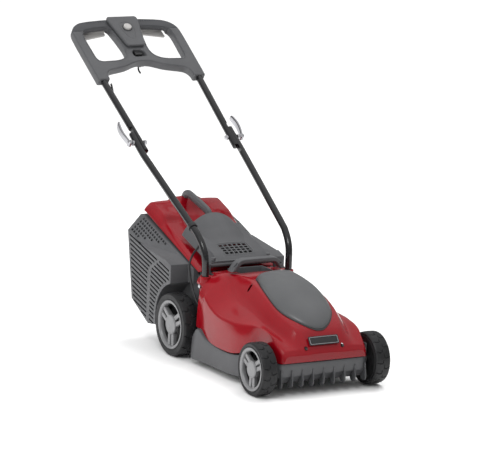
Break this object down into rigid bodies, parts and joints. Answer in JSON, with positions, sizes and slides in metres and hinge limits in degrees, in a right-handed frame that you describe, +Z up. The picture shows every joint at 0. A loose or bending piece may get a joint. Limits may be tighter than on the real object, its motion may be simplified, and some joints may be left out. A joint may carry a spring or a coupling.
{
  "type": "electric rotary lawn mower",
  "caption": "Walk-behind electric lawn mower with a moulded hood, rear grass box under a hinged flap, moulded wheels and a folding two-tube handle.",
  "frame": {"origin": "middle of the footprint, on the ground", "axes": "+Z up, +Y towards the operator along the length, +X to the operator's left"},
  "size_m": [0.4028, 1.3008, 0.8571],
  "materials": {
    "red_gloss": "glossy moulded plastic",
    "grey_plastic": "fine-grained moulded plastic",
    "cover_grey": "satin moulded plastic",
    "black_plastic": "satin",
    "black_tube": "glossy black powder coat",
    "steel": "zinc plated",
    "chrome": "polished",
    "blade_steel": "painted, ground edges",
    "tyre": "moulded tread",
    "rim_grey": "satin silver-grey plastic",
    "grip_rubber": "soft-touch",
    "light_grey": "satin",
    "cable_black": "smooth cable sheath"
  },
  "bodies": {
    "deck": {"hood_shell": "red_gloss", "motor_cover": "cover_grey", "badge_plate": "black_plastic", "hood_screw_left": "steel", "hood_screw_right": "steel", "carry_handle": "grey_plastic", "deck_base": "grey_plastic", "axle_bracket_left": "grey_plastic", "axle_bracket_right": "grey_plastic", "front_axle": "steel", "rear_axle": "steel", "motor_body": "black_plastic", "flap_pin": "steel", "lower_tube_left": "black_tube", "lower_tube_right": "black_tube", "socket_bolt_left": "steel", "socket_bolt_right": "steel", "clamp_bolt_left": "steel", "clamp_bolt_right": "steel", "lower_cable": "cable_black", "cable_clip": "black_plastic"},
    "rotor": {"motor_shaft": "steel", "blade_fan": "grey_plastic", "blade": "blade_steel", "blade_bolt": "steel"},
    "wheel_front_left": {"tyre_front_left": "tyre", "rim_front_left": "rim_grey", "hub_cap_front_left": "rim_grey"},
    "wheel_front_right": {"tyre_front_right": "tyre", "rim_front_right": "rim_grey", "hub_cap_front_right": "rim_grey"},
    "wheel_rear_left": {"tyre_rear_left": "tyre", "rim_rear_left": "rim_grey", "hub_cap_rear_left": "rim_grey"},
    "wheel_rear_right": {"tyre_rear_right": "tyre", "rim_rear_right": "rim_grey", "hub_cap_rear_right": "rim_grey"},
    "flap": {"rear_flap": "grey_plastic"},
    "grass_box": {"grass_box_body": "grey_plastic", "grass_box_lid": "red_gloss", "grass_box_handle": "grey_plastic"},
    "upper_handle": {"upper_tube_left": "black_tube", "upper_tube_right": "black_tube", "handle_frame": "grey_plastic", "handle_grip": "grip_rubber", "switch_housing": "grey_plastic", "power_inlet": "black_plastic", "cable_hook": "black_plastic", "upper_cable": "cable_black"},
    "button": {"lock_button": "light_grey"},
    "trigger_l": {"trigger_left": "light_grey"},
    "trigger_r": {"trigger_right": "light_grey"},
    "lever_l": {"clamp_lever_left": "chrome"},
    "lever_r": {"clamp_lever_right": "chrome"}
  },
  "joints": [
    {"name": "wheel_front_left_spin", "type": "hinge", "parent": "deck", "child": "wheel_front_left", "pos_m": [-0.178, -0.5774, 0.073], "axis": [1, 0, 0], "continuous": true},
    {"name": "wheel_front_right_spin", "type": "hinge", "parent": "deck", "child": "wheel_front_right", "pos_m": [0.178, -0.5774, 0.073], "axis": [1, 0, 0], "continuous": true},
    {"name": "wheel_rear_left_spin", "type": "hinge", "parent": "deck", "child": "wheel_rear_left", "pos_m": [-0.1755, -0.1114, 0.09], "axis": [1, 0, 0], "continuous": true},
    {"name": "wheel_rear_right_spin", "type": "hinge", "parent": "deck", "child": "wheel_rear_right", "pos_m": [0.1755, -0.1114, 0.09], "axis": [1, 0, 0], "continuous": true},
    {"name": "blade_spin", "type": "hinge", "parent": "deck", "child": "rotor", "pos_m": [0, -0.3914, 0.04], "axis": [0, 0, 1], "continuous": true},
    {"name": "flap_hinge", "type": "hinge", "parent": "deck", "child": "flap", "pos_m": [0, -0.1614, 0.264], "axis": [1, 0, 0], "range_deg": [0, 65]},
    {"name": "grass_box_lift", "type": "slide", "parent": "deck", "child": "grass_box", "axis": [0, 0.9781, 0.2079], "range_m": [0, 0.35]},
    {"name": "handle_fold", "type": "hinge", "parent": "deck", "child": "upper_handle", "pos_m": [0, 0.1946, 0.554], "axis": [1, 0, 0], "range_deg": [0, 150]},
    {"name": "lock_button_press", "type": "slide", "parent": "upper_handle", "child": "button", "axis": [0, 0.5358, -0.8443], "range_m": [0, 0.004], "stiffness_N_per_m": 300, "springref_m": -0.003},
    {"name": "trigger_left_squeeze", "type": "hinge", "parent": "upper_handle", "child": "trigger_l", "pos_m": [-0.097, 0.6249, 0.8129], "axis": [-1, 0, 0], "range_deg": [0, 12], "stiffness_Nm_per_rad": 0.5, "springref_deg": -17.19},
    {"name": "trigger_right_squeeze", "type": "hinge", "parent": "upper_handle", "child": "trigger_r", "pos_m": [0.097, 0.6249, 0.8129], "axis": [-1, 0, 0], "range_deg": [0, 12], "stiffness_Nm_per_rad": 0.5, "springref_deg": -17.19},
    {"name": "clamp_lever_left_open", "type": "hinge", "parent": "deck", "child": "lever_l", "pos_m": [-0.184, 0.1946, 0.554], "axis": [0, -0.5358, 0.8443], "range_deg": [0, 110]},
    {"name": "clamp_lever_right_open", "type": "hinge", "parent": "deck", "child": "lever_r", "pos_m": [0.184, 0.1946, 0.554], "axis": [0, 0.5358, -0.8443], "range_deg": [0, 110]}
  ]
}
